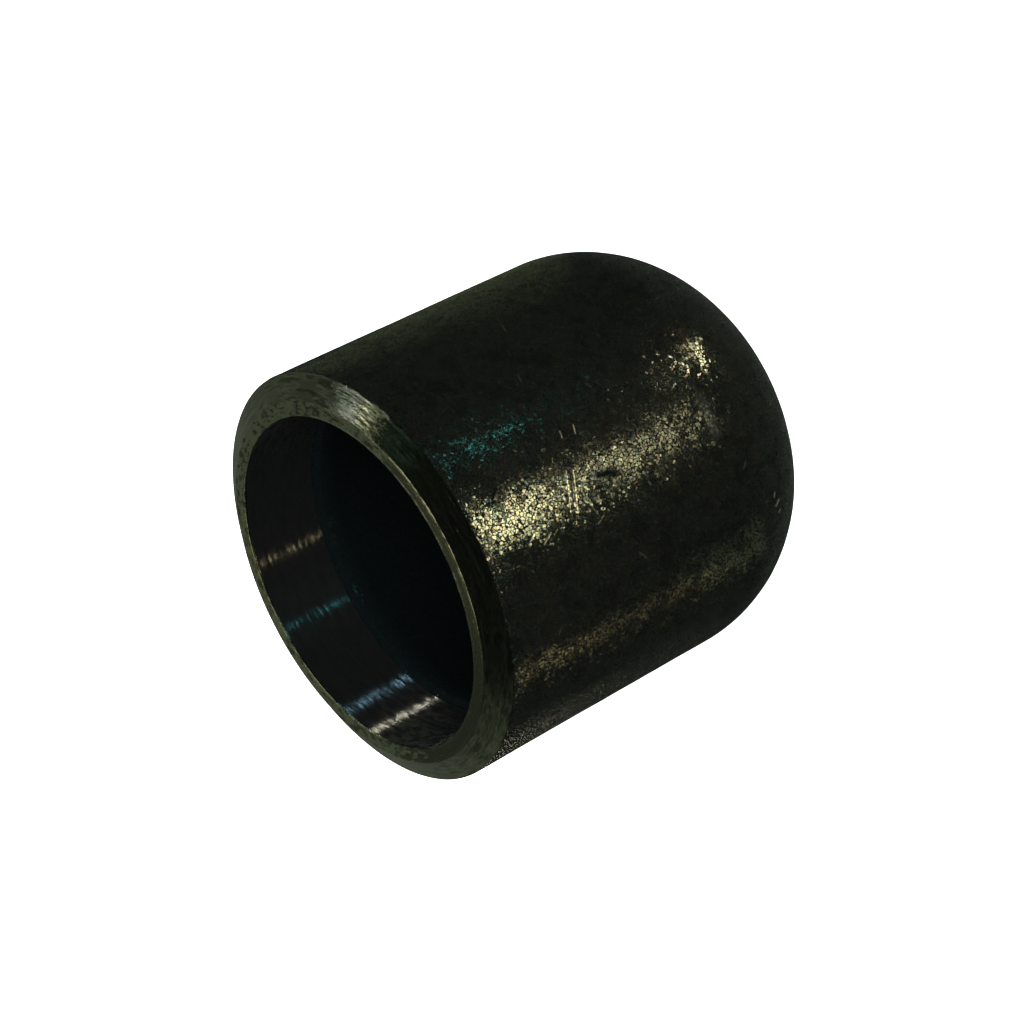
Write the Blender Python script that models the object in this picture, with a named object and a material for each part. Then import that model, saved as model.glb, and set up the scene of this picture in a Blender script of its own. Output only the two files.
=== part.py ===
"""Butt-weld pipe cap: a domed steel cup, pressed in one piece and machined at its mouth.

The cap stands mouth up on the small flat at the crown of its dome.
Origin: the centre of that flat. +Z: along the axis, out of the mouth. Lengths are in metres.
"""

from math import asin, cos, pi, radians, sin, sqrt, tan

import bmesh
import bpy

# Pressed body
OUTSIDE_DIAMETER = 0.0337      # that of the pipe the cap closes
LENGTH = 0.038                 # from the flat at the crown to the land
KNUCKLE_RADIUS = 0.0115        # outside, where the skirt turns into the dome
CROWN_RADIUS = 0.0225          # outside, across the dome
CROWN_FLAT_DIAMETER = 0.008    # where the die bottomed, and what the cap stands on

# Machined mouth
WALL = 0.0032                  # left after boring, that of the pipe
BORING_ALLOWANCE = 0.0005      # what boring takes off the pressed wall
BORE_DEPTH = 0.0066            # from the land to the start of the shoulder
SHOULDER_ANGLE = radians(45)   # of the shoulder's cone, from the axis
LAND_WIDTH = 0.0012            # root face, square to the axis
BEVEL_ANGLE = radians(30)      # weld preparation, from a plane square to the axis
BORE_EDGE_BREAK = 0.00015      # chamfer where the bore meets the land
SKIRT_EDGE_BREAK = 0.0002      # chamfer where the bevel meets the skirt

# Smoothness
SEGMENTS = 96                  # facets round the axis
ARC_STEP = radians(6)          # turn of each facet along an arc
MERGE_DISTANCE = 0.000001
SHARP_ANGLE = radians(20)

# Finish
SCALE_COLOUR = (0.040, 0.041, 0.036, 1.0)
SCALE_ROUGHNESS = 0.42
SCALE_METALLIC = 0.85

OUTSIDE_RADIUS = OUTSIDE_DIAMETER / 2
PRESSED_WALL = WALL + BORING_ALLOWANCE


def arc(centre, radius, start, end):
    """Points of an arc as (distance from the axis, height), its angles counted from straight down."""
    steps = max(1, round(abs(end - start) / ARC_STEP))
    angles = [start + (end - start) * step / steps for step in range(steps + 1)]
    return [(centre[0] + radius * sin(angle), centre[1] - radius * cos(angle)) for angle in angles]


def dome_centres():
    """The centres of the crown's arc and the knuckle's, and the angle of the line on which they meet.

    The flat cuts the crown's arc at height zero. The knuckle touches the crown's arc from inside and
    ends upright on the skirt, so the two centres are apart by the difference of the two radii.
    """
    crown_height = sqrt(CROWN_RADIUS ** 2 - (CROWN_FLAT_DIAMETER / 2) ** 2)
    knuckle_distance = OUTSIDE_RADIUS - KNUCKLE_RADIUS
    apart = CROWN_RADIUS - KNUCKLE_RADIUS
    knuckle_height = crown_height - sqrt(apart ** 2 - knuckle_distance ** 2)
    join = asin(knuckle_distance / apart)
    return (0.0, crown_height), (knuckle_distance, knuckle_height), join


def dome(depth, start):
    """The dome's curve, this deep inside its outer skin, from the angle start up to the skirt."""
    crown_centre, knuckle_centre, join = dome_centres()
    crown = arc(crown_centre, CROWN_RADIUS - depth, start, join)
    knuckle = arc(knuckle_centre, KNUCKLE_RADIUS - depth, join, pi / 2)
    return crown + knuckle[1:]


def inside():
    """The hollow, from its lowest point on the axis to the foot of the bore."""
    bore_radius = OUTSIDE_RADIUS - WALL
    shoulder_top = LENGTH - BORE_DEPTH
    shoulder_foot = shoulder_top - BORING_ALLOWANCE / tan(SHOULDER_ANGLE)
    points = dome(PRESSED_WALL, 0.0)
    points.append((OUTSIDE_RADIUS - PRESSED_WALL, shoulder_foot))
    points.append((bore_radius, shoulder_top))
    return points


def mouth():
    """The bore's broken edge, the land, the weld bevel and its broken edge at the skirt."""
    bore_radius = OUTSIDE_RADIUS - WALL
    land_edge = bore_radius + LAND_WIDTH
    bevel_edge = OUTSIDE_RADIUS - SKIRT_EDGE_BREAK
    bevel_foot = LENGTH - (bevel_edge - land_edge) * tan(BEVEL_ANGLE)
    return [
        (bore_radius, LENGTH - BORE_EDGE_BREAK),
        (bore_radius + BORE_EDGE_BREAK, LENGTH),
        (land_edge, LENGTH),
        (bevel_edge, bevel_foot),
        (OUTSIDE_RADIUS, bevel_foot - SKIRT_EDGE_BREAK),
    ]


def outside():
    """The skirt's foot and the dome, down to the flat and in to the axis."""
    flat_edge = asin(CROWN_FLAT_DIAMETER / 2 / CROWN_RADIUS)
    points = dome(0.0, flat_edge)
    points.reverse()
    points.append((0.0, 0.0))
    return points


def turned(section):
    """A closed mesh made by turning the section once round the Z axis."""
    work = bmesh.new()
    rim = [work.verts.new((distance, 0.0, height)) for distance, height in section]
    edges = [work.edges.new(pair) for pair in zip(rim, rim[1:])]
    bmesh.ops.spin(
        work, geom=rim + edges, cent=(0, 0, 0), axis=(0, 0, 1),
        angle=2 * pi, steps=SEGMENTS, use_merge=True,
    )
    bmesh.ops.remove_doubles(work, verts=work.verts[:], dist=MERGE_DISTANCE)
    bmesh.ops.recalc_face_normals(work, faces=work.faces[:])
    mesh = bpy.data.meshes.new("weld_cap")
    work.to_mesh(mesh)
    work.free()
    mesh.shade_smooth()
    mesh.set_sharp_from_angle(angle=SHARP_ANGLE)
    return mesh


def black_steel():
    """Carbon steel under thin dark scale."""
    material = bpy.data.materials.new("black_steel")
    material.use_nodes = True
    shader = material.node_tree.nodes["Principled BSDF"]
    shader.inputs["Base Color"].default_value = SCALE_COLOUR
    shader.inputs["Roughness"].default_value = SCALE_ROUGHNESS
    shader.inputs["Metallic"].default_value = SCALE_METALLIC
    return material


def clear_scene():
    """Remove every object that the scene starts with."""
    for item in list(bpy.context.scene.objects):
        bpy.data.objects.remove(item)


def build():
    """Make the cap and place it in the scene."""
    clear_scene()
    cap = bpy.data.objects.new("weld_cap", turned(inside() + mouth() + outside()))
    cap.data.materials.append(black_steel())
    bpy.context.scene.collection.objects.link(cap)


build()
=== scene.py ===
"""Butt-weld pipe cap of black pressed steel: its fine surface, its finishes, and the studio it stands in.

The cap stands mouth up on the small flat at its crown, with +Z along its axis and out of its mouth.
Lengths are in metres. An azimuth is counted in degrees from -Y towards +X, an elevation up from the floor.
"""

import logging
from dataclasses import dataclass, field
from enum import Enum
from math import asin, cos, pi, radians, sin, sqrt, tan
from typing import Any, Mapping, Optional, Sequence, Union

import bpy
import numpy as np
from mathutils import Matrix, Vector


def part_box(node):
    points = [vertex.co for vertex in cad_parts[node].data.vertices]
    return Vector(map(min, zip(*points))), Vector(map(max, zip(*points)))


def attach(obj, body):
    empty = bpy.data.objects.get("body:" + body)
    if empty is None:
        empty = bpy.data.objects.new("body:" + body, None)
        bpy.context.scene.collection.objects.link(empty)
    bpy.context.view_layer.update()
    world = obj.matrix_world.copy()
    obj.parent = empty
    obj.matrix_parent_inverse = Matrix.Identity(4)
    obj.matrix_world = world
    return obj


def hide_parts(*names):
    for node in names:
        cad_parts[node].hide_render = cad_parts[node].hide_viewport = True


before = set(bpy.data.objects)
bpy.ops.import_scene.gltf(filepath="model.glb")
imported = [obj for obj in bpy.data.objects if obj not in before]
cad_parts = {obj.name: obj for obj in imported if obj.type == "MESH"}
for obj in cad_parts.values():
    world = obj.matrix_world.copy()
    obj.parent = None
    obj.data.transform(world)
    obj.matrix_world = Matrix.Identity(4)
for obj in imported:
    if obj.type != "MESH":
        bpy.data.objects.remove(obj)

MM = 0.001
BODY = "root"
NODE = "weld_cap"
PICTURE_SIDE = 1024            # pixels, of the square picture that the camera is set for
SENSOR_WIDTH = 36.0            # millimetres, of the camera
CLIP = (0.01, 20.0)            # nearest and farthest that the camera sees

log = logging.getLogger("weld_cap")

Colour = tuple[float, float, float]
Operand = Union["Wire", float]


def direction(azimuth: float, elevation: float = 0.0) -> np.ndarray:
    """The unit vector that points this way.

    Args:
        azimuth: degrees from -Y towards +X.
        elevation: degrees up from the floor.

    Returns:
        The three parts of the vector.
    """
    across = cos(radians(elevation))
    return np.array([
        across * sin(radians(azimuth)),
        -across * cos(radians(azimuth)),
        sin(radians(elevation)),
    ])


class SolidNoise:
    """Smooth noise that fills space, between -1 and 1, and the same for the same seed."""

    PERIOD = 256

    def __init__(self, wavelength: float, seed: int) -> None:
        """Draw the random levels of the noise's lattice.

        Args:
            wavelength: the pitch of the lattice.
            seed: which noise this is.
        """
        draw = np.random.default_rng(seed)
        self.wavelength = wavelength
        self.order = draw.permutation(self.PERIOD)
        self.levels = draw.uniform(-1.0, 1.0, self.PERIOD)

    def _level(self, corner: np.ndarray) -> np.ndarray:
        """The random level of each corner of the lattice, found by shuffling its three whole numbers."""
        place = self.order[corner[..., 0] % self.PERIOD]
        place = self.order[(place + corner[..., 1]) % self.PERIOD]
        return self.levels[(place + corner[..., 2]) % self.PERIOD]

    def at(self, points: np.ndarray) -> np.ndarray:
        """The noise at each point.

        A point lies in a cube of the lattice. Its value is the blend of the levels of the cube's eight
        corners, by the smooth step 3 t^2 - 2 t^3 of its share t of the way along each axis.

        Args:
            points: places in space, with x, y and z along the last axis.

        Returns:
            One value for each point.
        """
        place = points / self.wavelength
        corner = np.floor(place).astype(int)
        share = place - corner
        share = share * share * (3 - 2 * share)
        total = np.zeros(points.shape[:-1])
        for offset in np.ndindex(2, 2, 2):
            side = np.array(offset)
            weight = np.where(side == 1, share, 1 - share).prod(axis=-1)
            total += weight * self._level(corner + side)
        return total


@dataclass(frozen=True)
class Relief:
    """The unevenness that pressing and shot-blasting leave, as a depth below the true surface."""

    swells: tuple[tuple[float, float], ...] = (
        (4.6 * MM, 0.034 * MM),
        (1.7 * MM, 0.016 * MM),
        (0.75 * MM, 0.009 * MM),
    )
    seed: int = 11

    def depth(self, points: np.ndarray) -> np.ndarray:
        """How far each point of the surface lies below its true place.

        The depth is the sum of a few noises, each raised so that its highest value is zero, and each with
        its own wavelength and its own greatest depth.

        Args:
            points: places on the true surface.

        Returns:
            One depth for each point, zero or more.
        """
        total = np.zeros(points.shape[:-1])
        for number, (wavelength, deepest) in enumerate(self.swells):
            noise = SolidNoise(wavelength, self.seed + number).at(points)
            total += deepest * (1 - noise) / 2
        return total


class Zone(Enum):
    """Which finish a stretch of the cap's skin has. The value is the finish's place on the mesh."""

    SKIN = 0
    BEVEL = 1
    LAND = 2
    BORE = 3
    HOLLOW = 4


@dataclass(frozen=True)
class CapSizes:
    """The driving sizes of the cap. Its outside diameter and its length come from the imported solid."""

    outside_radius: float
    length: float
    knuckle_radius: float = 11.5 * MM
    crown_radius: float = 22.5 * MM
    crown_flat_radius: float = 4.0 * MM
    wall: float = 3.2 * MM
    boring_allowance: float = 0.5 * MM
    bore_depth: float = 6.6 * MM
    shoulder_angle: float = radians(45)
    land_width: float = 1.2 * MM
    bevel_angle: float = radians(30)

    @property
    def pressed_wall(self) -> float:
        """The wall before boring."""
        return self.wall + self.boring_allowance

    @property
    def bore_radius(self) -> float:
        """The radius of the machined bore."""
        return self.outside_radius - self.wall

    @property
    def land_radius(self) -> float:
        """The radius at which the land meets the bevel."""
        return self.bore_radius + self.land_width

    @property
    def crown_height(self) -> float:
        """The height of the centre of the crown's arc, which the flat cuts at height zero."""
        return sqrt(self.crown_radius ** 2 - self.crown_flat_radius ** 2)

    @property
    def knuckle_distance(self) -> float:
        """The distance of the centre of the knuckle's arc from the axis."""
        return self.outside_radius - self.knuckle_radius

    @property
    def knuckle_height(self) -> float:
        """The height of the centre of the knuckle's arc, which touches the crown's arc from inside."""
        apart = self.crown_radius - self.knuckle_radius
        return self.crown_height - sqrt(apart ** 2 - self.knuckle_distance ** 2)

    @property
    def join(self) -> float:
        """The angle, from straight down, of the line on which the two arcs meet."""
        return asin(self.knuckle_distance / (self.crown_radius - self.knuckle_radius))


def shares(rows: int, margin: float = 0.0) -> np.ndarray:
    """Shares from 0 to 1 of a stretch, evenly spaced but for one more near each end.

    Args:
        rows: how many even steps there are.
        margin: the share of the stretch between its end and the extra row there, or none for zero.

    Returns:
        The shares in order.
    """
    even = np.linspace(0.0, 1.0, rows + 1)
    return np.unique(np.concatenate([even, [margin, 1.0 - margin]]))


def straight(start: np.ndarray, end: np.ndarray, steps: np.ndarray) -> np.ndarray:
    """Rings on the straight lines between two rings: start + share (end - start).

    Args:
        start: the first ring, one row of (distance from the axis, height) for each column.
        end: the last ring.
        steps: the shares of the way at which there is a ring.

    Returns:
        The rings, as an array of ring, column and coordinate.
    """
    return start + steps[:, None, None] * (end - start)


def broken_edge(
    corner: np.ndarray, before: np.ndarray, after: np.ndarray, reach: np.ndarray, rows: int
) -> np.ndarray:
    """Rings that round a corner between two straight stretches.

    Each column follows the curve (1 - t)^2 A + 2 t (1 - t) C + t^2 B. C is the corner, and A and B lie the
    reach away from it on the stretches before and after.

    Args:
        corner: the ring of the sharp corner.
        before: a ring on the stretch that leads to it.
        after: a ring on the stretch that leads from it.
        reach: how much of each stretch the edge takes, one length for each column.
        rows: how many steps the curve has.

    Returns:
        The rings from A to B.
    """
    back = before - corner
    ahead = after - corner
    first = corner + reach[:, None] * back / np.linalg.norm(back, axis=-1, keepdims=True)
    last = corner + reach[:, None] * ahead / np.linalg.norm(ahead, axis=-1, keepdims=True)
    step = np.linspace(0.0, 1.0, rows + 1)[:, None, None]
    return (1 - step) ** 2 * first + 2 * step * (1 - step) * corner + step ** 2 * last


@dataclass
class WeldCap:
    """The whole cap: one closed skin, turned about the Z axis."""

    sizes: CapSizes
    finishes: Mapping[Zone, "Finish"]
    relief: Relief = field(default_factory=Relief)
    hollow_relief: Relief = field(default_factory=lambda: Relief(seed=31))
    columns: int = 576
    hollow_crown_rows: int = 7
    hollow_knuckle_rows: int = 8
    hollow_wall_rows: int = 12
    bore_rows: int = 8
    land_rows: int = 2
    bevel_rows: int = 5
    edge_rows: int = 3
    skirt_rows: int = 66
    knuckle_rows: int = 26
    crown_rows: int = 13
    flat_rows: int = 2
    end_margin: float = 0.05
    shoulder_break: float = 0.08 * MM
    bore_edge_break: float = 0.12 * MM
    land_edge_break: float = 0.05 * MM
    skirt_edge_break: tuple[float, float] = (0.03 * MM, 0.14 * MM)
    skirt_edge_wavelength: float = 1.3 * MM
    relief_fade: float = 2.0 * MM      # over which the relief dies out towards the flat at the crown

    def __post_init__(self) -> None:
        """Work out each column's angle, and the ways across and along the floor that it points."""
        self.angles = np.arange(self.columns) * 2 * pi / self.columns
        self.across = np.sin(self.angles)
        self.along = -np.cos(self.angles)

    def _ring(self, distance: Union[float, np.ndarray], height: Union[float, np.ndarray]) -> np.ndarray:
        """A ring at this distance from the axis and this height, each one number or one for each column."""
        ring = np.empty((self.columns, 2))
        ring[:, 0] = distance
        ring[:, 1] = height
        return ring

    def _points(self, rings: np.ndarray) -> np.ndarray:
        """Rings as points in space: x = distance sin(angle), y = -distance cos(angle), z = height."""
        distance = rings[..., 0]
        return np.stack([distance * self.across, distance * self.along, rings[..., 1]], axis=-1)

    def _arc(
        self, centre: tuple[float, float], radius: float, start: float, end: float, rows: int
    ) -> tuple[np.ndarray, np.ndarray]:
        """Rings on an arc, and the ways that it faces.

        Args:
            centre: the arc's centre, as distance from the axis and height.
            radius: the arc's radius.
            start: the first angle, from straight down.
            end: the last angle.
            rows: how many steps there are.

        Returns:
            The rings, and for each the unit vector that points away from the centre.
        """
        turn = np.linspace(start, end, rows + 1)
        facing = np.stack([np.sin(turn), -np.cos(turn)], axis=-1)[:, None, :]
        facing = np.broadcast_to(facing, (rows + 1, self.columns, 2))
        return np.array(centre) + radius * facing, facing

    def _dome(
        self, depth: float, start: float, crown_rows: int, knuckle_rows: int
    ) -> tuple[np.ndarray, np.ndarray]:
        """The crown's arc and the knuckle's, this far inside the cap's outer surface.

        Args:
            depth: the distance below the outer surface.
            start: the angle from straight down at which the crown's arc starts.
            crown_rows: the steps along the crown.
            knuckle_rows: the steps along the knuckle.

        Returns:
            The rings from the middle outwards, and the ways that they face.
        """
        sizes = self.sizes
        crown, crown_facing = self._arc(
            (0.0, sizes.crown_height), sizes.crown_radius - depth, start, sizes.join, crown_rows
        )
        knuckle, knuckle_facing = self._arc(
            (sizes.knuckle_distance, sizes.knuckle_height),
            sizes.knuckle_radius - depth, sizes.join, pi / 2, knuckle_rows,
        )
        return np.concatenate([crown, knuckle[1:]]), np.concatenate([crown_facing, knuckle_facing[1:]])

    def _hollow(self) -> np.ndarray:
        """The hollow from its pole to the foot of the shoulder, each point a little off its true place."""
        sizes = self.sizes
        dome, facing = self._dome(
            sizes.pressed_wall, 0.0, self.hollow_crown_rows, self.hollow_knuckle_rows
        )
        inner = sizes.outside_radius - sizes.pressed_wall
        shoulder_top = sizes.length - sizes.bore_depth
        foot_height = shoulder_top - sizes.boring_allowance / tan(sizes.shoulder_angle)
        low = self._ring(inner, sizes.knuckle_height)
        foot = self._ring(inner, foot_height)
        wall = straight(low, foot, shares(self.hollow_wall_rows))[1:]
        outwards = np.broadcast_to(np.array([1.0, 0.0]), wall.shape)
        rings = np.concatenate([dome, wall])
        facing = np.concatenate([facing, outwards])
        fade = np.clip(rings[..., 0] / self.relief_fade, 0.0, 1.0)
        moved = rings + (fade * self.hollow_relief.depth(self._points(rings)))[..., None] * facing
        grown = moved[-1, :, 0] - inner
        moved[-1, :, 1] = foot_height + grown / tan(sizes.shoulder_angle)
        return moved

    def _mouth(
        self, foot: np.ndarray, lip: np.ndarray, below_lip: np.ndarray
    ) -> tuple[np.ndarray, list[int]]:
        """The shoulder, the bore, the land, the bevel and their broken edges.

        Args:
            foot: the ring where the shoulder leaves the hollow.
            lip: the ring of the sharp corner between the bevel and the skirt.
            below_lip: a ring on the skirt below it.

        Returns:
            The rings after the foot, up to the start of the skirt, and the zone of the stretch that leads
            to each.
        """
        sizes = self.sizes
        shoulder = self._ring(sizes.bore_radius, sizes.length - sizes.bore_depth)
        bore_edge = self._ring(sizes.bore_radius, sizes.length)
        land_edge = self._ring(sizes.land_radius, sizes.length)
        even = np.ones(self.columns)
        shortest, longest = self.skirt_edge_break
        wear = SolidNoise(self.skirt_edge_wavelength, seed=53).at(self._points(lip)) ** 2
        corners = (
            broken_edge(shoulder, foot, bore_edge, self.shoulder_break * even, self.edge_rows),
            broken_edge(bore_edge, shoulder, land_edge, self.bore_edge_break * even, self.edge_rows),
            broken_edge(land_edge, bore_edge, lip, self.land_edge_break * even, self.edge_rows),
            broken_edge(lip, land_edge, below_lip, shortest + (longest - shortest) * wear, self.edge_rows),
        )
        rows = (1, self.bore_rows, self.land_rows, self.bevel_rows)
        before = (Zone.HOLLOW, Zone.BORE, Zone.LAND, Zone.BEVEL)
        across = (Zone.HOLLOW, Zone.LAND, Zone.LAND, Zone.SKIN)
        parts = []
        zones = []
        start = foot
        for corner, count, face_zone, corner_zone in zip(corners, rows, before, across):
            face = straight(start, corner[0], shares(count, self.end_margin))[1:-1]
            parts += [face, corner]
            zones += [face_zone.value] * (len(face) + 1) + [corner_zone.value] * self.edge_rows
            start = corner[-1]
        return np.concatenate(parts), zones

    def _lip(self) -> tuple[np.ndarray, np.ndarray]:
        """Where the bevel's cone cuts the uneven skirt, and a ring on the skirt just below.

        Returns:
            The two rings.
        """
        sizes = self.sizes
        slope = tan(sizes.bevel_angle)
        height = sizes.length - (sizes.outside_radius - sizes.land_radius) * slope
        sunk = self.relief.depth(self._points(self._ring(sizes.outside_radius, height)))
        distance = sizes.outside_radius - sunk
        corner = self._ring(distance, sizes.length - (distance - sizes.land_radius) * slope)
        below = self._ring(distance, height - 1.0 * MM)
        return corner, below

    def _outside(self, top: np.ndarray) -> np.ndarray:
        """The skirt, the knuckle, the crown and the flat, down to the pole.

        Each ring of the skirt and the dome is sunk along the way that it faces by the relief's depth, which
        dies out towards the flat.

        Args:
            top: the last ring of the mouth, where the skirt starts.

        Returns:
            The rings after it.
        """
        sizes = self.sizes
        flat_angle = asin(sizes.crown_flat_radius / sizes.crown_radius)
        dome, dome_facing = self._dome(0.0, flat_angle, self.crown_rows, self.knuckle_rows)
        highest = self._ring(sizes.outside_radius, top[:, 1])
        lowest = self._ring(sizes.outside_radius, sizes.knuckle_height)
        skirt = straight(highest, lowest, shares(self.skirt_rows))[:-1]
        facing = np.broadcast_to(np.array([1.0, 0.0]), skirt.shape)
        rings = np.concatenate([skirt, dome[::-1]])
        facing = np.concatenate([facing, dome_facing[::-1]])
        fade = np.clip((rings[..., 0] - sizes.crown_flat_radius) / self.relief_fade, 0.0, 1.0)
        sunk = fade * self.relief.depth(self._points(rings))
        rings = rings - sunk[..., None] * facing
        rings[0] = top
        flat = straight(rings[-1], self._ring(0.0, 0.0), shares(self.flat_rows))[1:]
        return np.concatenate([rings[1:], flat])

    def skin(self) -> tuple[np.ndarray, np.ndarray]:
        """All the rings of the cap, from the pole of the hollow to the pole of the flat.

        Returns:
            The rings, and the zone of each stretch between one ring and the next.
        """
        hollow = self._hollow()
        corner, below = self._lip()
        mouth, mouth_zones = self._mouth(hollow[-1], corner, below)
        outside = self._outside(mouth[-1])
        zones = np.concatenate([
            np.full(len(hollow) - 1, Zone.HOLLOW.value),
            np.array(mouth_zones),
            np.full(len(outside), Zone.SKIN.value),
        ])
        return np.concatenate([hollow, mouth, outside]), zones

    def _faces(self, rings: int) -> tuple[np.ndarray, np.ndarray, np.ndarray]:
        """The faces between rings that start and end in a single point.

        Args:
            rings: how many rings there are, the two poles among them.

        Returns:
            The corners of all the faces in one row, the number of corners of each, and the stretch that
            each lies in.
        """
        column = np.arange(self.columns)
        beside = (column + 1) % self.columns
        last = 1 + (rings - 2) * self.columns
        start = 1 + np.arange(rings - 3)[:, None] * self.columns
        quads = np.stack(
            [start + column, start + self.columns + column, start + self.columns + beside, start + beside],
            axis=-1,
        )
        first_fan = np.stack([np.zeros_like(column), 1 + column, 1 + beside], axis=-1)
        end = last - self.columns
        last_fan = np.stack([end + column, np.full_like(column, last), end + beside], axis=-1)
        corners = np.concatenate([first_fan.ravel(), quads.ravel(), last_fan.ravel()])
        counts = np.concatenate([
            np.full(self.columns, 3), np.full(quads.shape[0] * self.columns, 4), np.full(self.columns, 3)
        ])
        stretch = np.repeat(np.arange(rings - 1), self.columns)
        return corners, counts, stretch

    def build(self) -> bpy.types.Object:
        """Make the cap's mesh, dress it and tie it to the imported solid.

        Returns:
            The finished piece.
        """
        rings, zones = self.skin()
        points = self._points(rings)
        inner = points[1:-1].reshape(-1, 3)
        places = np.concatenate([points[0, :1], inner, points[-1, :1]])
        corners, counts, stretch = self._faces(len(rings))
        mesh = bpy.data.meshes.new("steel_cap")
        mesh.vertices.add(len(places))
        mesh.vertices.foreach_set("co", places.astype(np.float32).ravel())
        mesh.loops.add(len(corners))
        mesh.loops.foreach_set("vertex_index", corners.astype(np.int32))
        mesh.polygons.add(len(counts))
        mesh.polygons.foreach_set("loop_start", (np.cumsum(counts) - counts).astype(np.int32))
        mesh.polygons.foreach_set("material_index", zones[stretch].astype(np.int32))
        mesh.update(calc_edges=True)
        mesh.validate()
        mesh.shade_smooth()
        for zone in Zone:
            mesh.materials.append(self.finishes[zone].make())
        piece = bpy.data.objects.new("steel_cap", mesh)
        bpy.context.scene.collection.objects.link(piece)
        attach(piece, BODY)
        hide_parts(NODE)
        return piece


class Wire:
    """One output of a shader node. Python's arithmetic on it adds Math nodes."""

    def __init__(self, graph: "Graph", socket: bpy.types.NodeSocket) -> None:
        """Remember the graph that the socket belongs to.

        Args:
            graph: the graph that new nodes go into.
            socket: the output socket.
        """
        self.graph = graph
        self.socket = socket

    def __add__(self, other: Operand) -> "Wire":
        """The sum."""
        return self.graph.number("ADD", self, other)

    def __radd__(self, other: Operand) -> "Wire":
        """The sum, with the number on the left."""
        return self.graph.number("ADD", other, self)

    def __sub__(self, other: Operand) -> "Wire":
        """The difference."""
        return self.graph.number("SUBTRACT", self, other)

    def __rsub__(self, other: Operand) -> "Wire":
        """The difference, with the number on the left."""
        return self.graph.number("SUBTRACT", other, self)

    def __mul__(self, other: Operand) -> "Wire":
        """The product."""
        return self.graph.number("MULTIPLY", self, other)

    def __rmul__(self, other: Operand) -> "Wire":
        """The product, with the number on the left."""
        return self.graph.number("MULTIPLY", other, self)

    def __truediv__(self, other: Operand) -> "Wire":
        """The quotient."""
        return self.graph.number("DIVIDE", self, other)

    def __pow__(self, other: Operand) -> "Wire":
        """The power."""
        return self.graph.number("POWER", self, other)


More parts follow.
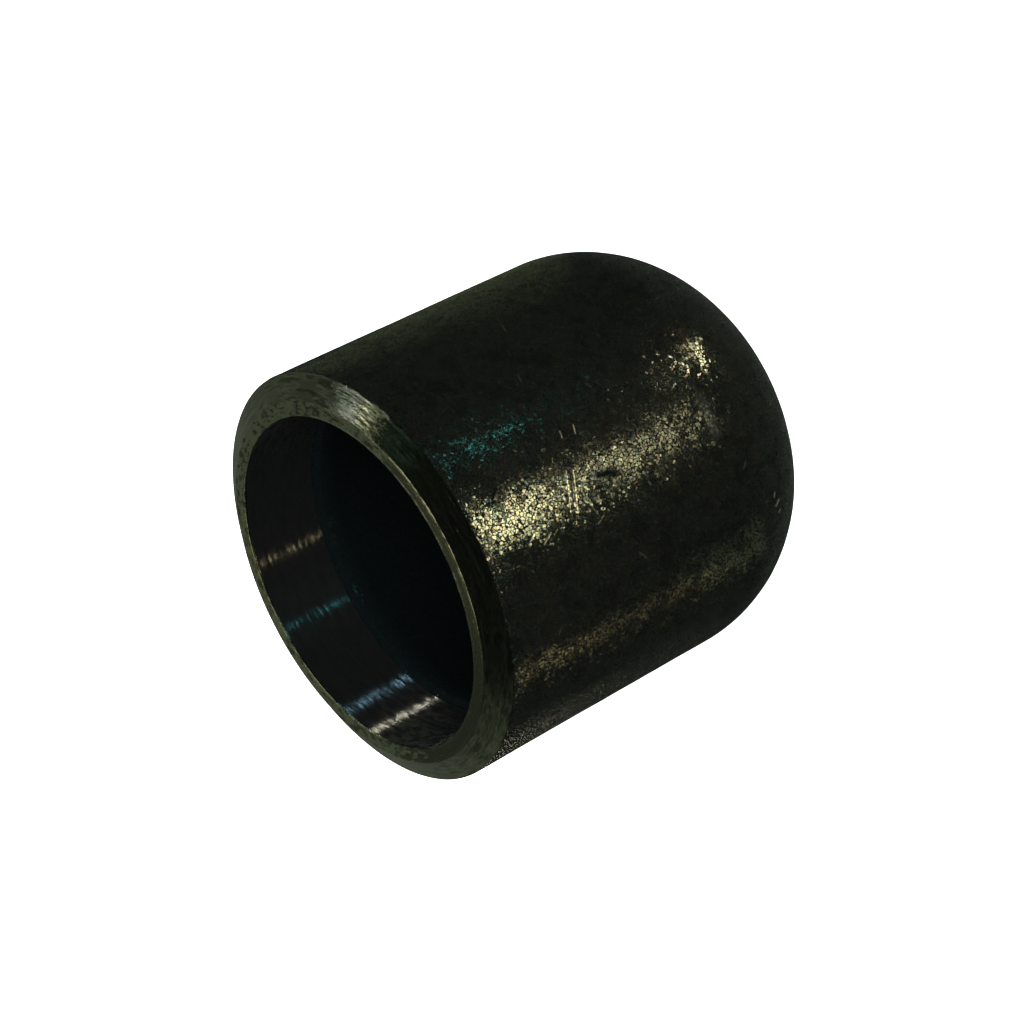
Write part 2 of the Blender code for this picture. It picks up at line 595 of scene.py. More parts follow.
class Graph:
    """The shader nodes of one material."""

    def __init__(self, tree: bpy.types.NodeTree) -> None:
        """Start from an empty node tree.

        Args:
            tree: the tree to fill.
        """
        self.tree = tree
        tree.nodes.clear()

    def add(
        self,
        kind: str,
        settings: Optional[Mapping[str, Any]] = None,
        sockets: Optional[Mapping[Union[str, int], Any]] = None,
    ) -> bpy.types.Node:
        """Add a node.

        Args:
            kind: the node's type.
            settings: its settings by name, set first. The setting stops is a ramp's list of places and
                colours.
            sockets: what its inputs hold, by name or number: a Wire for a link, or a plain value.

        Returns:
            The node.
        """
        node = self.tree.nodes.new(kind)
        for name, value in (settings or {}).items():
            if name == "stops":
                self._fill_ramp(node.color_ramp, value)
            else:
                setattr(node, name, value)
        for name, value in (sockets or {}).items():
            if isinstance(value, Wire):
                self.tree.links.new(value.socket, node.inputs[name])
            else:
                node.inputs[name].default_value = value
        return node

    @staticmethod
    def _fill_ramp(ramp: bpy.types.ColorRamp, stops: Sequence[tuple[float, Colour]]) -> None:
        """Give a ramp these stops, each a place and a colour."""
        while len(ramp.elements) > 1:
            ramp.elements.remove(ramp.elements[-1])
        for number, (place, colour) in enumerate(stops):
            stop = ramp.elements[0] if number == 0 else ramp.elements.new(place)
            stop.position = place
            stop.color = (*colour, 1.0)

    def wire(
        self,
        kind: str,
        output: Union[str, int],
        settings: Optional[Mapping[str, Any]] = None,
        sockets: Optional[Mapping[Union[str, int], Any]] = None,
    ) -> Wire:
        """Add a node and take one of its outputs.

        Args:
            kind: the node's type.
            output: the output's name or number.
            settings: as for add.
            sockets: as for add.

        Returns:
            The output.
        """
        return Wire(self, self.add(kind, settings, sockets).outputs[output])

    def number(self, operation: str, first: Operand, second: Operand = 0.0) -> Wire:
        """Work out a number from one or two others with a Math node."""
        return self.wire("ShaderNodeMath", 0, {"operation": operation}, {0: first, 1: second})

    def vector(self, operation: str, first: Any, second: Any) -> Wire:
        """Work out a vector from two others with a Vector Math node."""
        return self.wire("ShaderNodeVectorMath", 0, {"operation": operation}, {0: first, 1: second})

    def stretched(self, vector: Wire, factors: tuple[float, float, float]) -> Wire:
        """A vector with each of its parts multiplied by its own factor."""
        return self.vector("MULTIPLY", vector, factors)

    def parts(self, vector: Wire) -> tuple[Wire, Wire, Wire]:
        """The three parts of a vector."""
        node = self.add("ShaderNodeSeparateXYZ", None, {"Vector": vector})
        return Wire(self, node.outputs[0]), Wire(self, node.outputs[1]), Wire(self, node.outputs[2])

    def noise(self, place: Wire, scale: float, detail: float, output: Union[str, int] = 0) -> Wire:
        """Smooth noise from 0 to 1.

        Args:
            place: where it is read.
            scale: how many spots there are in a unit of length.
            detail: how many finer noises lie on the first.
            output: its single number, or Color for three.

        Returns:
            The noise.
        """
        sockets = {"Vector": place, "Scale": scale, "Detail": detail}
        return self.wire("ShaderNodeTexNoise", output, None, sockets)

    def joined(self, first: Operand, second: Operand, third: Operand) -> Wire:
        """A vector made of three numbers."""
        return self.wire("ShaderNodeCombineXYZ", 0, None, {0: first, 1: second, 2: third})

    def rise(self, value: Operand, low: float, high: float) -> Wire:
        """A smooth step: 0 below low, 1 above high, and the other way round where high is the lower one."""
        flipped = high < low
        sockets = {
            "Value": value,
            "From Min": min(low, high),
            "From Max": max(low, high),
            "To Min": 1.0 if flipped else 0.0,
            "To Max": 0.0 if flipped else 1.0,
        }
        return self.wire("ShaderNodeMapRange", 0, {"interpolation_type": "SMOOTHSTEP"}, sockets)

    def blend(self, share: Operand, first: Any, second: Any, how: str = "MIX") -> Wire:
        """Two colours blended: the first where share is 0, the second where it is 1."""
        node = self.add(
            "ShaderNodeMix",
            {"data_type": "RGBA", "blend_type": how},
            {"Factor": share},
        )
        for place, colour in ((6, first), (7, second)):
            if isinstance(colour, Wire):
                self.tree.links.new(colour.socket, node.inputs[place])
            else:
                node.inputs[place].default_value = (*colour, 1.0)
        return Wire(self, node.outputs[2])

    def bump(self, height: Wire, distance: float, below: Optional[Wire] = None) -> Wire:
        """A normal that shows the height as relief.

        Args:
            height: the height, from 0 to 1 or so.
            distance: the real height of a rise of 1.
            below: the normal of a coarser relief that this one lies on.

        Returns:
            The normal.
        """
        sockets: dict[Union[str, int], Any] = {"Height": height, "Distance": distance, "Strength": 1.0}
        if below is not None:
            sockets["Normal"] = below
        return self.wire("ShaderNodeBump", 0, None, sockets)


@dataclass(frozen=True)
class Finish:
    """How a surface looks: the parts that all the finishes of the cap share."""

    name: str

    def make(self) -> bpy.types.Material:
        """Make the finish's material.

        Returns:
            The material.
        """
        material = bpy.data.materials.new(self.name)
        material.use_nodes = True
        graph = Graph(material.node_tree)
        sockets = self.sockets(graph)
        shader = graph.wire("ShaderNodeBsdfPrincipled", 0, None, sockets)
        graph.add("ShaderNodeOutputMaterial", None, {"Surface": shader})
        return material

    def sockets(self, graph: Graph) -> dict[Union[str, int], Any]:
        """What the shader's sockets hold. Each finish gives its own."""
        raise NotImplementedError

    @staticmethod
    def lustre(graph: Graph, mirrored: Wire, matt: Union[Wire, Colour]) -> dict[Union[str, int], Any]:
        """The sockets of a surface that mirrors one colour of light and scatters another.

        A metal of colour M + D and metallic share M / (M + D) mirrors M and scatters D.

        Args:
            graph: the graph to add nodes to.
            mirrored: the share of red, green and blue light that it mirrors.
            matt: the share that it scatters.

        Returns:
            What the three sockets hold.
        """
        green = graph.parts(mirrored)[1]
        matt_green = graph.parts(matt)[1] if isinstance(matt, Wire) else matt[1]
        return {
            "Base Color": graph.vector("ADD", mirrored, matt),
            "Metallic": green / (green + matt_green),
            "Specular IOR Level": 0.0,
        }


@dataclass(frozen=True)
class Stroke:
    """A scratch, a pit or a rubbed spot on the skirt, given by its middle."""

    azimuth: float             # degrees
    height: float
    length: float
    lean: float                # degrees, from the way round the axis
    width: float = 0.10 * MM


@dataclass(frozen=True)
class BlackScale(Finish):
    """Black scale on pressed steel, shot-blasted: flat-topped stones with dark crevices between them."""

    grain: float = 0.28 * MM
    bend: float = 0.21 * MM
    crevice_depth: float = 0.023 * MM
    slope: float = 0.22            # of the tops that lean the most
    fine: float = 0.10 * MM
    fine_height: float = 0.005 * MM
    patch: float = 1.6 * MM
    ragged: float = 0.16           # how far the fine noise moves the edge of a top
    flank: tuple[float, float] = (0.0, 0.10)           # from crevice to top, as shares of a stone
    polished: tuple[float, float] = (0.035, 0.12)      # from crevice to the part that mirrors
    dull_patches: tuple[float, float] = (0.50, 0.62)   # levels of the noise that makes them
    dulled: float = 0.7            # share of its shine that a dull patch loses
    roughness: float = 0.14
    dull_roughness: float = 0.05   # more in a dull patch
    mark_roughness: float = 0.12   # more in a mark or a rubbed spot
    mark_pitch: float = 3.4 * MM
    mark_depth: float = 0.008 * MM
    mark_width: float = 0.06 * MM
    mark_lengths: tuple[float, float] = (0.15 * MM, 1.05 * MM)
    mark_chance: tuple[float, float] = (0.70, 0.75)    # cells whose draw is above have a mark
    mark_strength: float = 0.6     # beside a placed scratch
    skirt_radius: float = 16.85 * MM
    shine: float = 0.058           # share of the light that a top mirrors
    matt: Colour = (0.0018, 0.0028, 0.0028)
    bare: Colour = (0.150, 0.150, 0.120)
    bare_matt: Colour = (0.040, 0.038, 0.029)
    rub_and_sheen: Colour = (0.050, 0.058, 0.056)
    scratches: tuple[Stroke, ...] = ()
    pits: tuple[Stroke, ...] = ()
    rubs: tuple[Stroke, ...] = ()
    tints: tuple[tuple[float, Colour], ...] = (
        (0.00, (0.90, 1.00, 0.78)),
        (0.35, (0.92, 0.96, 0.70)),
        (0.66, (0.88, 0.98, 0.80)),
        (0.74, (0.66, 1.00, 0.88)),
        (0.80, (0.90, 1.00, 0.78)),
        (0.90, (0.92, 0.92, 0.72)),
        (0.94, (1.00, 0.70, 0.48)),
        (0.97, (0.86, 0.86, 1.00)),
        (1.00, (0.92, 1.00, 0.84)),
    )

    def _wrapped(self, graph: Graph, place: Wire) -> tuple[Wire, Wire]:
        """How far round the skirt the point is, as a length from azimuth 0, and how high."""
        x, y, z = graph.parts(place)
        return graph.number("ARCTAN2", x, 0.0 - y) * self.skirt_radius, z

    def _all_of(self, graph: Graph, strokes: Sequence[Stroke], around: Wire, height: Wire) -> Operand:
        """The placed strokes together.

        Args:
            graph: the graph to add nodes to.
            strokes: the strokes.
            around: how far round the skirt the point is.
            height: how high it is.

        Returns:
            1 on the middle line of any of them, falling to 0 at its edges.
        """
        total: Operand = 0.0
        for stroke in strokes:
            away = (around - radians(stroke.azimuth) * self.skirt_radius, height - stroke.height)
            one = self._stroke(graph, away, radians(stroke.lean), stroke.length, stroke.width)
            total = graph.number("MAXIMUM", total, one)
        return total

    def _scattered(self, graph: Graph, around: Wire, height: Wire) -> Wire:
        """Small scratches, one in some of the cells of a pattern wrapped round the skirt.

        Args:
            graph: the graph to add nodes to.
            around: how far round the skirt the point is.
            height: how high it is.

        Returns:
            1 in a scratch and 0 outside.
        """
        flat = graph.joined(around, height, 0.0)
        cells = graph.add(
            "ShaderNodeTexVoronoi",
            {"feature": "F1", "voronoi_dimensions": "2D"},
            {"Vector": flat, "Scale": 1 / self.mark_pitch, "Randomness": 1.0},
        )
        chance = graph.parts(Wire(graph, cells.outputs["Color"]))
        away = graph.parts(graph.vector("SUBTRACT", flat, Wire(graph, cells.outputs["Position"])))
        shortest, longest = self.mark_lengths
        length = shortest + (longest - shortest) * chance[1]
        stroke = self._stroke(graph, away, chance[0] * (2 * pi), length, self.mark_width)
        return stroke * (self.mark_strength * graph.rise(chance[2], *self.mark_chance))

    @staticmethod
    def _stroke(
        graph: Graph, away: Sequence[Wire], turn: Operand, length: Operand, width: float
    ) -> Wire:
        """A straight stroke with round ends.

        Args:
            graph: the graph to add nodes to.
            away: how far the point is from its middle, round the axis and up.
            turn: the stroke's angle from the way round the axis.
            length: the stroke's length.
            width: how far from its middle line the stroke dies out.

        Returns:
            1 on the middle line, falling to 0 at the edges.
        """
        cosine = graph.number("COSINE", turn)
        sine = graph.number("SINE", turn)
        lengthwise = away[0] * cosine + away[1] * sine
        sideways = away[1] * cosine - away[0] * sine
        past = graph.number("MAXIMUM", graph.number("ABSOLUTE", lengthwise) - length * 0.5, 0.0)
        distance = graph.number("SQRT", past * past + sideways * sideways)
        return graph.rise(distance, width, 0.0)

    def sockets(self, graph: Graph) -> dict[Union[str, int], Any]:
        """Stones are the cells of a Voronoi pattern, bent by noise. Each leans its own way.

        Args:
            graph: the graph to add nodes to.

        Returns:
            What the shader's sockets hold.
        """
        place = graph.wire("ShaderNodeTexCoord", "Object")
        bend = graph.noise(place, 1.5 / self.grain, 1.0, "Color")
        bend = graph.vector("SUBTRACT", bend, (0.5, 0.5, 0.5))
        bent = graph.vector("ADD", place, graph.stretched(bend, (self.bend, self.bend, self.bend)))
        voronoi = {"Vector": bent, "Scale": 1 / self.grain, "Randomness": 1.0}
        cells = graph.add("ShaderNodeTexVoronoi", {"feature": "F1"}, voronoi)
        edge = graph.wire("ShaderNodeTexVoronoi", "Distance", {"feature": "DISTANCE_TO_EDGE"}, voronoi)
        draw = Wire(graph, cells.outputs["Color"])
        chance = graph.parts(draw)
        patches = graph.noise(place, 1 / self.patch, 3.0)
        fine = graph.noise(place, 1 / self.fine, 2.0)
        edge = edge + self.ragged * (fine - 0.5)
        top = graph.rise(edge, *self.flank)
        flat_top = graph.rise(edge, *self.polished)
        from_middle = graph.vector("SUBTRACT", bent, Wire(graph, cells.outputs["Position"]))
        tilt = graph.vector("SUBTRACT", draw, (0.5, 0.5, 0.5))
        leaning = graph.wire(
            "ShaderNodeVectorMath", "Value", {"operation": "DOT_PRODUCT"}, {0: from_middle, 1: tilt}
        )
        wrapped = self._wrapped(graph, place)
        marks = self._scattered(graph, *wrapped)
        marks = graph.number("MAXIMUM", marks, self._all_of(graph, self.scratches, *wrapped))
        pits = self._all_of(graph, self.pits, *wrapped)
        rubs = self._all_of(graph, self.rubs, *wrapped) * (0.5 + 0.5 * chance[0])
        lean = leaning * (self.slope / MM) * (0.3 + 0.7 * chance[1] ** 2.0)
        height = top * (self.crevice_depth / MM) + lean - marks * (self.mark_depth / MM)
        dull = graph.rise(patches + 0.2 * (chance[0] - 0.5), *self.dull_patches)
        tint = graph.wire("ShaderNodeValToRGB", 0, {"stops": self.tints}, {0: chance[2]})
        shine = self.shine * flat_top * (1.0 - self.dulled * dull) * (0.6 + 0.8 * fine)
        shine = shine * graph.number("SUBTRACT", 1.0, pits)
        coat = graph.blend(rubs, graph.vector("MULTIPLY", tint, shine), self.rub_and_sheen)
        coat = graph.blend(marks, coat, self.bare)
        rough = self.roughness + self.dull_roughness * dull + self.mark_roughness * (marks + rubs)
        return self.lustre(graph, coat, graph.blend(marks, self.matt, self.bare_matt)) | {
            "Roughness": rough,
            "Normal": graph.bump(fine, self.fine_height, graph.bump(height, MM)),
        }


@dataclass(frozen=True)
class TurnedSteel(Finish):
    """Steel as the lathe left it: what its turned faces share."""

    groove: float = 0.20 * MM
    matt: Colour = (0.0020, 0.0025, 0.0018)
    roughness: float = 0.20
    stretch: float = 0.6

    @staticmethod
    def _turned(graph: Graph) -> tuple[Wire, Wire, Wire, Wire]:
        """The point's place on a turned face.

        The first two parts are the way that the point lies from the axis, which changes slowly round the
        cap. The third is its distance from the axis. The fourth is its height less that distance, which
        changes across every turned face.
        """
        x, y, z = graph.parts(graph.wire("ShaderNodeTexCoord", "Object"))
        distance = graph.number("SQRT", x * x + y * y)
        return x / distance, y / distance, distance, z - distance

    @staticmethod
    def _drawn_out(
        graph: Graph, around: tuple[Wire, Wire], across: Wire, turns: float, width: float, detail: float
    ) -> Wire:
        """Noise that is drawn out along the way round the axis, as a tool's marks are.

        Args:
            graph: the graph to add nodes to.
            around: the way that the point lies from the axis.
            across: its place across the turned face.
            turns: how many marks follow each other in one radian.
            width: the width of a mark.
            detail: how many finer noises lie on the first.

        Returns:
            The noise, from 0 to 1.
        """
        place = graph.joined(around[0] * turns, around[1] * turns, across / width)
        return graph.noise(place, 1.0, detail)

    @staticmethod
    def _facing(around: Sequence[Wire], azimuth: float) -> Wire:
        """The cosine of the angle between the way that the point lies from the axis and this azimuth."""
        towards = direction(azimuth)
        return around[0] * towards[0] + around[1] * towards[1]

    @staticmethod
    def _blotches(graph: Graph, size: float, detail: float) -> Wire:
        """Even noise with spots of this size."""
        return graph.noise(graph.wire("ShaderNodeTexCoord", "Object"), 1 / size, detail)


@dataclass(frozen=True)
class FacedSteel(TurnedSteel):
    """The weld bevel: steel under a thin dark film, worn through in places and stained in others."""

    groove: float = 0.32 * MM
    groove_height: float = 0.034 * MM
    dash_height: float = 0.030 * MM
    bright: Colour = (0.220, 0.235, 0.170)
    film: Colour = (0.116, 0.144, 0.094)
    stain: Colour = (0.020, 0.028, 0.020)
    stained: float = 0.68          # how much of the film's look a stain takes away
    patch: float = 2.2 * MM
    groove_turns: float = 2.0      # marks that follow each other in one radian
    dash_turns: float = 9.0
    smear_turns: float = 7.0
    worn_through: tuple[float, float] = (0.38, 0.62)   # levels of the noises that make each of these
    stained_dashes: tuple[float, float] = (0.56, 0.66)
    stained_smears: tuple[float, float] = (0.56, 0.64)
    roughness: float = 0.09
    dash_roughness: float = 0.10
    stretch: float = 0.4

    def sockets(self, graph: Graph) -> dict[Union[str, int], Any]:
        """Long grooves, shorter dashes and smears lie round the axis, over even blotches.

        Args:
            graph: the graph to add nodes to.

        Returns:
            What the shader's sockets hold.
        """
        *around, _, across = self._turned(graph)
        grooves = self._drawn_out(graph, around, across, self.groove_turns, self.groove, 3.0)
        dashes = self._drawn_out(graph, around, across, self.dash_turns, self.groove, 3.0)
        smears = self._drawn_out(graph, around, across, self.smear_turns, 2.0 * self.groove, 4.0)
        patches = self._blotches(graph, self.patch, 4.0)
        worn = graph.rise(patches + 0.7 * (dashes - 0.5), *self.worn_through)
        stained = graph.rise(
            dashes + 0.6 * (grooves - 0.5) + 0.4 * (patches - 0.5), *self.stained_dashes
        )
        smeared = graph.rise(smears + 0.5 * (patches - 0.5), *self.stained_smears)
        stained = graph.number("MAXIMUM", stained, smeared)
        colour = graph.blend(worn, self.film, self.bright)
        colour = graph.blend(self.stained * stained, colour, self.stain)
        lines = graph.bump(grooves, self.groove_height, graph.bump(smears, 2 * self.dash_height))
        return self.lustre(graph, colour, self.matt) | {
            "Roughness": self.roughness + self.dash_roughness * dashes,
            "Anisotropic": self.stretch,
            "Anisotropic Rotation": 0.25,
            "Normal": graph.bump(dashes, self.dash_height, lines),
        }


@dataclass(frozen=True)
class LandSteel(TurnedSteel):
    """The narrow land: dull and mottled along its middle, rubbed bright along its two edges, with a painted
    highlight that makes the edges brightest on one side.
    """

    inner_radius: float = 0.0
    outer_radius: float = 0.0
    edge: float = 0.34 * MM        # width of the bright edges
    bright: Colour = (0.400, 0.420, 0.310)
    film: Colour = (0.190, 0.225, 0.150)
    stain: Colour = (0.044, 0.054, 0.034)
    highlight_side: float = 20.0      # azimuth at which the rubbed edges are the brightest: a painted highlight
    darker_side: float = -38.0    # azimuth towards which the land is the darkest
    dash_height: float = 0.014 * MM
    dash_turns: float = 24.0       # marks that follow each other in one radian
    break_turns: float = 9.0
    mottle: float = 0.7 * MM
    dash_roughness: float = 0.12
    highlight_reach: tuple[float, float] = (0.60, 0.97)      # cosines of the angles from that side
    darker_reach: tuple[float, float] = (0.10, 0.85)
    unbroken: tuple[float, float] = (0.43, 0.58)       # levels of the noises that make each of these
    stained: tuple[float, float] = (0.44, 0.68)

    def sockets(self, graph: Graph) -> dict[Union[str, int], Any]:
        """The land is darker towards one side, and its rubbed edges carry a painted highlight that is
        brightest towards another.

        Args:
            graph: the graph to add nodes to.

        Returns:
            What the shader's sockets hold.
        """
        *around, distance, across = self._turned(graph)
        dashes = self._drawn_out(graph, around, across, self.dash_turns, self.groove, 2.0)
        breaks = self._drawn_out(graph, around, across, self.break_turns, 2.0 * self.groove, 3.0)
        patches = self._blotches(graph, self.mottle, 3.0)
        middle = (self.inner_radius + self.outer_radius) / 2
        half = (self.outer_radius - self.inner_radius) / 2
        off_middle = graph.number("ABSOLUTE", distance - middle)
        edges = graph.rise(off_middle + self.edge * (dashes - 0.5), half - self.edge, half)
        # How far the point faces the side at azimuth 20, where a painted highlight makes the rubbed edges
        # the brightest
        rub_and_sheen = graph.rise(self._facing(around, self.highlight_side), *self.highlight_reach)
        bright = edges * graph.rise(breaks, *self.unbroken) * (0.08 + 0.92 * rub_and_sheen)
        # The land is darker towards azimuth -38: this term adds to the stained mask there.
        near_darker_side = graph.rise(self._facing(around, self.darker_side), *self.darker_reach)
        stained = graph.rise(
            patches + 1.1 * (dashes - 0.5) + 0.4 * (breaks - 0.5) + 0.42 * near_darker_side, *self.stained
        )
        colour = graph.blend(stained, self.film, self.stain)
        colour = graph.blend(bright, colour, self.bright)
        return self.lustre(graph, colour, self.matt) | {
            "Roughness": self.roughness + self.dash_roughness * dashes,
            "Anisotropic": self.stretch,
            "Anisotropic Rotation": 0.25,
            "Normal": graph.bump(dashes, self.dash_height),
        }


@dataclass(frozen=True)
class BoredSteel(TurnedSteel):
    """The machined bore: tool marks so fine that they draw each lamp out along the axis."""

    pitch: float = 0.12 * MM
    flank: float = 0.66            # slope of the flank of a tool mark that faces out of the mouth
    wander: float = 0.30 * MM      # width of the noise that makes the marks uneven
    wander_turns: float = 0.4      # of it, in one radian
    bead: float = 0.45 * MM
    bead_turns: float = 12.0
    bare_beads: tuple[float, float] = (0.36, 0.56)     # levels of the noise that makes them
    steepness: tuple[float, float] = (0.55, 0.90)      # of a flank, and how much it varies
    bright: Colour = (0.066, 0.069, 0.066)
    film: Colour = (0.012, 0.0125, 0.012)
    matt: Colour = (0.0200, 0.0235, 0.0222)
    roughness: float = 0.20
    stretch: float = 1.0

    def sockets(self, graph: Graph) -> dict[Union[str, int], Any]:
        """Each tool mark rises slowly and falls back at once. Beads of film lie along the marks.

        Args:
            graph: the graph to add nodes to.

        Returns:
            What the shader's sockets hold.
        """
        *around, _, across = self._turned(graph)
        wander = self._drawn_out(graph, around, across, self.wander_turns, self.wander, 1.0)
        beads = self._drawn_out(graph, around, across, self.bead_turns, self.bead, 1.0)
        colour = graph.blend(graph.rise(beads, *self.bare_beads), self.film, self.bright)
        least, varied = self.steepness
        mark = 1.0 - graph.number("FRACT", across / self.pitch + wander)
        return self.lustre(graph, colour, self.matt) | {
            "Roughness": self.roughness,
            "Anisotropic": self.stretch,
            "Anisotropic Rotation": 0.25,
            "Normal": graph.bump(mark * (least + varied * wander), self.flank * self.pitch),
        }


@dataclass(frozen=True)
class StudioFloor(Finish):
    """A pale matt table that glows a little, so that it stays white round the cap."""

    white: Colour = (0.88, 0.88, 0.88)
    roughness: float = 0.8
    glow: float = 2.0

    def sockets(self, graph: Graph) -> dict[Union[str, int], Any]:
        """One even pale colour.

        Args:
            graph: the graph to add nodes to.

        Returns:
            What the shader's sockets hold.
        """
        return {
            "Base Color": (*self.white, 1.0),
            "Roughness": self.roughness,
            "Emission Color": (1.0, 1.0, 1.0, 1.0),
            "Emission Strength": self.glow,
        }


@dataclass(frozen=True)
class Lamp:
    """A flat rectangular lamp that gives even light from its front and isn't seen by the camera."""

    name: str
    radiance: float
    colour: Colour

    def _light(
        self, width: float, height: float, axes: Sequence[np.ndarray], place: np.ndarray
    ) -> bpy.types.Object:
        """Make the lamp.

        Args:
            width: its side along its own X axis.
            height: its side along its own Y axis.
            axes: its X, Y and Z axes. It shines along -Z.
            place: its centre.

        Returns:
            The lamp's object.
        """
        data = bpy.data.lights.new(self.name, "AREA")
        data.shape = "RECTANGLE"
        data.size = width
        data.size_y = height
        data.energy = self.radiance * pi * width * height
        data.color = self.colour
        lamp = bpy.data.objects.new(self.name, data)
        matrix = Matrix([Vector(axis) for axis in axes]).transposed().to_4x4()
        matrix.translation = Vector(place)
        lamp.matrix_world = matrix
        lamp.visible_camera = False
        bpy.context.scene.collection.objects.link(lamp)
        return lamp


@dataclass(frozen=True)
class Softbox(Lamp):
    """A lamp that hangs somewhere round the cap and faces it."""

    azimuth: float
    elevation: float
    distance: float
    width: float
    height: float
    on_metal: bool = True
    on_matt: bool = True

    def make(self, target: np.ndarray) -> bpy.types.Object:
        """Hang the lamp, turned towards the target.

        Args:
            target: the point that it faces.

        Returns:
            The lamp's object.
        """
        back = direction(self.azimuth, self.elevation)
        right = direction(self.azimuth + 90.0)
        up = np.cross(back, right)
        lamp = self._light(self.width, self.height, (right, up, back), target + self.distance * back)
        lamp.visible_glossy = self.on_metal
        lamp.visible_diffuse = self.on_matt
        return lamp


@dataclass(frozen=True)
class TableCard(Lamp):
    """A lit card that lies on the table, where the camera sees it mirrored in the skirt."""

    seen_at: float             # azimuth on the skirt
    seen_from: float = field(default=0.0, kw_only=True)    # azimuth of who looks
    near: float                # from the skirt to the card's near end
    far: float                 # from the skirt to its far end
    width: float
    lift: float = 1.0 * MM     # above the table

    def make(self, skirt_radius: float) -> bpy.types.Object:
        """Lay the card down, face up, along the way that the skirt mirrors the view of who looks.

        Where the skirt faces the azimuth a and is seen from the azimuth b, that way is azimuth 2 a - b.

        Args:
            skirt_radius: the radius of the skirt.

        Returns:
            The card's object.
        """
        along = direction(2 * self.seen_at - self.seen_from)
        middle = skirt_radius * direction(self.seen_at) + (self.near + self.far) / 2 * along
        middle[2] = self.lift
        face_up = np.array([0.0, 0.0, -1.0])
        side = np.cross(along, face_up)
        return self._light(self.width, self.far - self.near, (side, along, face_up), middle)


@dataclass
class Studio:
    """The table, the light round the cap and the camera."""

    floor_finish: StudioFloor
    floor_half_side: float = 3.0
    surround: tuple[tuple[float, Colour], ...] = (         # colours by the sine of the elevation
        (-0.80, (0.085, 0.098, 0.078)),
        (-0.62, (0.030, 0.037, 0.032)),
        (-0.46, (0.030, 0.037, 0.032)),
        (-0.32, (0.110, 0.124, 0.096)),
        (0.20, (0.160, 0.175, 0.140)),
        (0.58, (0.160, 0.175, 0.140)),
        (0.76, (0.025, 0.028, 0.025)),
        (1.00, (0.020, 0.022, 0.020)),
    )
    front: Colour = (0.012, 0.013, 0.013)                  # of the room in front and on the left
    back_from: tuple[float, float] = (0.0, 0.35)           # y of the ways in which the back begins
    left_to: tuple[float, float] = (-0.80, -0.60)          # x of those in which the left ends
    horizon: tuple[float, float] = (0.05, -0.05)           # z of those in which the lower half begins
    camera_aim: tuple[float, float, float] = (-0.53 * MM, 0.0, 22.53 * MM)
    camera_distance: float = 227.11 * MM
    camera_elevation: float = 32.443
    camera_roll: float = -117.187
    focal_pixels: float = 2898.2
    lamps: Sequence[Lamp] = ()

    def lay_floor(self) -> bpy.types.Object:
        """Lay the pale table that the cap stands on.

        Returns:
            The floor.
        """
        reach = self.floor_half_side
        mesh = bpy.data.meshes.new("table")
        corners = [(-reach, -reach, 0), (reach, -reach, 0), (reach, reach, 0), (-reach, reach, 0)]
        mesh.from_pydata(corners, [], [(0, 1, 2, 3)])
        mesh.materials.append(self.floor_finish.make())
        floor = bpy.data.objects.new("table", mesh)
        floor.visible_glossy = False
        bpy.context.scene.collection.objects.link(floor)
        return floor

    def fill_surround(self) -> None:
        """Make the room: white to the camera past the table, and dim for the cap, least from above."""
        world = bpy.data.worlds.new("room")
        world.use_nodes = True
        graph = Graph(world.node_tree)
        way = graph.parts(graph.wire("ShaderNodeTexCoord", "Generated"))
        stops = [((height + 1) / 2, colour) for height, colour in self.surround]
        lit = graph.wire("ShaderNodeValToRGB", 0, {"stops": stops}, {0: way[2] * 0.5 + 0.5})
        behind = graph.rise(way[1], *self.back_from) * graph.rise(way[0], *self.left_to)
        lit = graph.blend(behind + graph.rise(way[2], *self.horizon), self.front, lit)
        seen = graph.wire("ShaderNodeLightPath", "Is Camera Ray")
        colour = graph.blend(seen, lit, (1.0, 1.0, 1.0))
        background = graph.wire("ShaderNodeBackground", 0, None, {"Color": colour, "Strength": 1.0})
        graph.add("ShaderNodeOutputWorld", None, {"Surface": background})
        bpy.context.scene.world = world

    def place_camera(self) -> bpy.types.Object:
        """Set up the camera, looking at the cap from azimuth 0 and turned about its own view.

        Returns:
            The camera.
        """
        back = Vector(direction(0.0, self.camera_elevation))
        level = Vector((1.0, 0.0, 0.0))
        upright = back.cross(level)
        turn = radians(self.camera_roll)
        right = cos(turn) * level + sin(turn) * upright
        up = back.cross(right)
        data = bpy.data.cameras.new("camera")
        data.sensor_width = SENSOR_WIDTH
        data.lens = SENSOR_WIDTH * self.focal_pixels / PICTURE_SIDE
        data.clip_start, data.clip_end = CLIP
        camera = bpy.data.objects.new("camera", data)
        matrix = Matrix((right, up, back)).transposed().to_4x4()
        matrix.translation = Vector(self.camera_aim) + self.camera_distance * back
        camera.matrix_world = matrix
        bpy.context.scene.collection.objects.link(camera)
        bpy.context.scene.camera = camera
        return camera

    def light(self, sizes: CapSizes) -> None:
        """Set up every lamp.

        Args:
            sizes: the sizes of the cap that they light.
        """
        target = np.array([0.0, 0.0, sizes.length / 2])
        for lamp in self.lamps:
            lamp.make(sizes.outside_radius if isinstance(lamp, TableCard) else target)
            log.info("lamp %s", lamp.name)

    def set_up(self, sizes: CapSizes) -> None:
        """Make the floor, the room, the lamps and the camera.

        Args:
            sizes: the sizes of the cap that stands in the studio.
        """
        scene = bpy.context.scene
        scene.view_settings.view_transform = "Standard"
        self.lay_floor()
        self.fill_surround()
        self.light(sizes)
        self.place_camera()


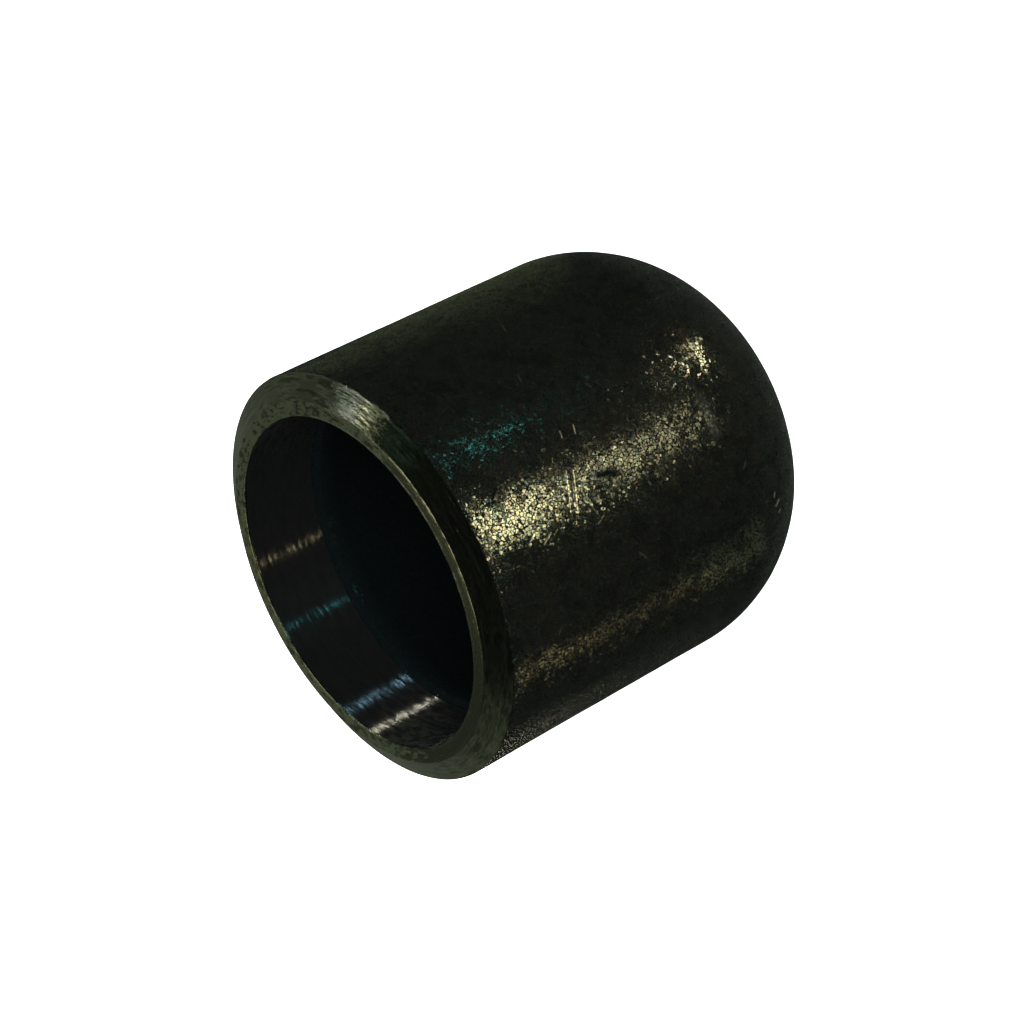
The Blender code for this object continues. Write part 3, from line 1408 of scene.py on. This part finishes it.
CREAM = (1.0, 0.86, 0.58)
TEAL = (0.14, 0.80, 0.88)
SKY = (0.42, 0.76, 1.0)
GOLD = (1.0, 0.78, 0.42)
ORANGE = (1.0, 0.42, 0.18)
WHITE = (1.0, 0.96, 1.0)
PALE = (1.0, 0.88, 0.70)
LILAC = (0.94, 0.86, 1.0)
MOSS = (0.45, 1.0, 0.72)
OLIVE = (0.86, 1.0, 0.60)
LEAF = (0.86, 1.0, 0.42)

HOLLOW_MATT = (0.0105, 0.0215, 0.0225)

LAMPS = (
    TableCard("front_card", 6.5, CREAM, seen_at=-2.0, near=21 * MM, far=44 * MM, width=10.5 * MM),
    TableCard("far_card", 24.0, CREAM, seen_at=-3.0, near=44 * MM, far=66 * MM, width=21 * MM),
    TableCard("knuckle_card", 38.0, CREAM, seen_at=13.6, near=9.0 * MM, far=13.2 * MM, width=4.2 * MM),
    TableCard("orange_card", 12.0, ORANGE, seen_at=18.4, near=11.6 * MM, far=13.6 * MM, width=0.9 * MM),
    TableCard("teal_card", 38.0, TEAL, seen_at=17.6, near=44 * MM, far=60 * MM, width=0.7 * MM),
    TableCard("brown_card", 1.3, GOLD, seen_at=-45.0, near=20 * MM, far=46 * MM, width=3 * MM),
    TableCard("far_brown_card", 4.4, GOLD, seen_at=-44.0, near=46 * MM, far=64 * MM, width=5 * MM),
    TableCard("dome_card", 0.35, OLIVE, seen_at=-43.0, near=9 * MM, far=24 * MM, width=9 * MM),
    TableCard("leaf_card", 0.08, LEAF, seen_at=70.0, near=12 * MM, far=80 * MM, width=34 * MM),
    TableCard(
        "back_card", 9.0, CREAM, seen_at=219.0, near=62 * MM, far=145 * MM, width=24 * MM, seen_from=225.0
    ),
    Softbox("bevel_box", 2.0, LILAC, 120.5, 48.5, 0.30, 0.040, 0.056),
    Softbox("bevel_core_box", 9.5, PALE, 115.8, 54.0, 0.30, 0.018, 0.026),
    Softbox("bevel_green_box", 0.11, MOSS, 108.0, 66.0, 0.30, 0.050, 0.060),
    Softbox("land_box", 3.6, CREAM, 180.0, 55.0, 0.30, 0.10, 0.06),
    Softbox("bore_cream_box", 115.0, PALE, 100.5, 24.0, 0.25, 0.0025, 0.055, on_matt=False),
    Softbox("bore_sky_box", 14.0, SKY, 74.0, 22.0, 0.25, 0.018, 0.060, on_matt=False),
    Softbox("bore_teal_box", 19.0, TEAL, 5.0, 18.0, 0.25, 0.008, 0.070, on_matt=False),
    Softbox("bore_gold_box", 22.0, GOLD, -40.0, 18.0, 0.25, 0.008, 0.070, on_matt=False),
    Softbox("front_fill", 1.8, WHITE, 0.0, 35.0, 0.50, 0.30, 0.30, on_metal=False),
    Softbox("back_fill", 1.8, WHITE, 180.0, 35.0, 0.50, 0.30, 0.30, on_metal=False),
    Softbox("table_box", 1.0, WHITE, 0.0, 90.0, 0.60, 0.55, 0.55, on_metal=False),
)

SCRATCHES = (
    Stroke(azimuth=-3.6, height=28.05 * MM, length=3.0 * MM, lean=-23.0),
    Stroke(azimuth=-4.1, height=27.45 * MM, length=2.9 * MM, lean=-23.0),
    Stroke(azimuth=9.5, height=25.0 * MM, length=0.7 * MM, lean=-21.0, width=0.12 * MM),
    Stroke(azimuth=9.8, height=26.25 * MM, length=0.5 * MM, lean=-15.0, width=0.12 * MM),
    Stroke(azimuth=-9.5, height=32.43 * MM, length=1.0 * MM, lean=-56.0, width=0.13 * MM),
    Stroke(azimuth=-11.6, height=31.32 * MM, length=1.0 * MM, lean=-59.0, width=0.13 * MM),
    Stroke(azimuth=-4.3, height=36.7 * MM, length=0.5 * MM, lean=20.0),
    Stroke(azimuth=-34.5, height=9.15 * MM, length=0.5 * MM, lean=-60.0, width=0.22 * MM),
    Stroke(azimuth=-31.5, height=9.5 * MM, length=0.3 * MM, lean=-20.0, width=0.16 * MM),
    Stroke(azimuth=-37.5, height=8.9 * MM, length=0.3 * MM, lean=-80.0, width=0.14 * MM),
)

PITS = (
    Stroke(azimuth=-4.1, height=24.4 * MM, length=1.3 * MM, lean=78.0, width=0.90 * MM),
    Stroke(azimuth=-3.8, height=27.75 * MM, length=2.7 * MM, lean=-23.0, width=0.12 * MM),
    Stroke(azimuth=4.6, height=33.7 * MM, length=0.5 * MM, lean=-50.0, width=0.25 * MM),
)

RUBS = (
    Stroke(azimuth=-3.0, height=13.8 * MM, length=2.6 * MM, lean=0.0, width=0.75 * MM),
)


def main() -> None:
    """Build the cap and the studio."""
    logging.basicConfig(level=logging.INFO, format="%(name)s: %(message)s")
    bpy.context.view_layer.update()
    low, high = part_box(NODE)
    sizes = CapSizes(outside_radius=high.x, length=high.z - low.z)
    finishes = {
        Zone.SKIN: BlackScale("black_scale", scratches=SCRATCHES, pits=PITS, rubs=RUBS),
        Zone.BEVEL: FacedSteel("bevel_steel"),
        Zone.LAND: LandSteel(
            "land_steel", inner_radius=sizes.bore_radius, outer_radius=sizes.land_radius
        ),
        Zone.BORE: BoredSteel("bore_steel"),
        Zone.HOLLOW: BlackScale(
            "hollow_scale", shine=0.020, matt=HOLLOW_MATT, bare=(0.010, 0.012, 0.012), bare_matt=HOLLOW_MATT
        ),
    }
    cap = WeldCap(sizes, finishes)
    piece = cap.build()
    log.info("%s has %d faces", piece.name, len(piece.data.polygons))
    Studio(StudioFloor("pale_table"), lamps=LAMPS).set_up(sizes)


if __name__ == "__main__":
    main()
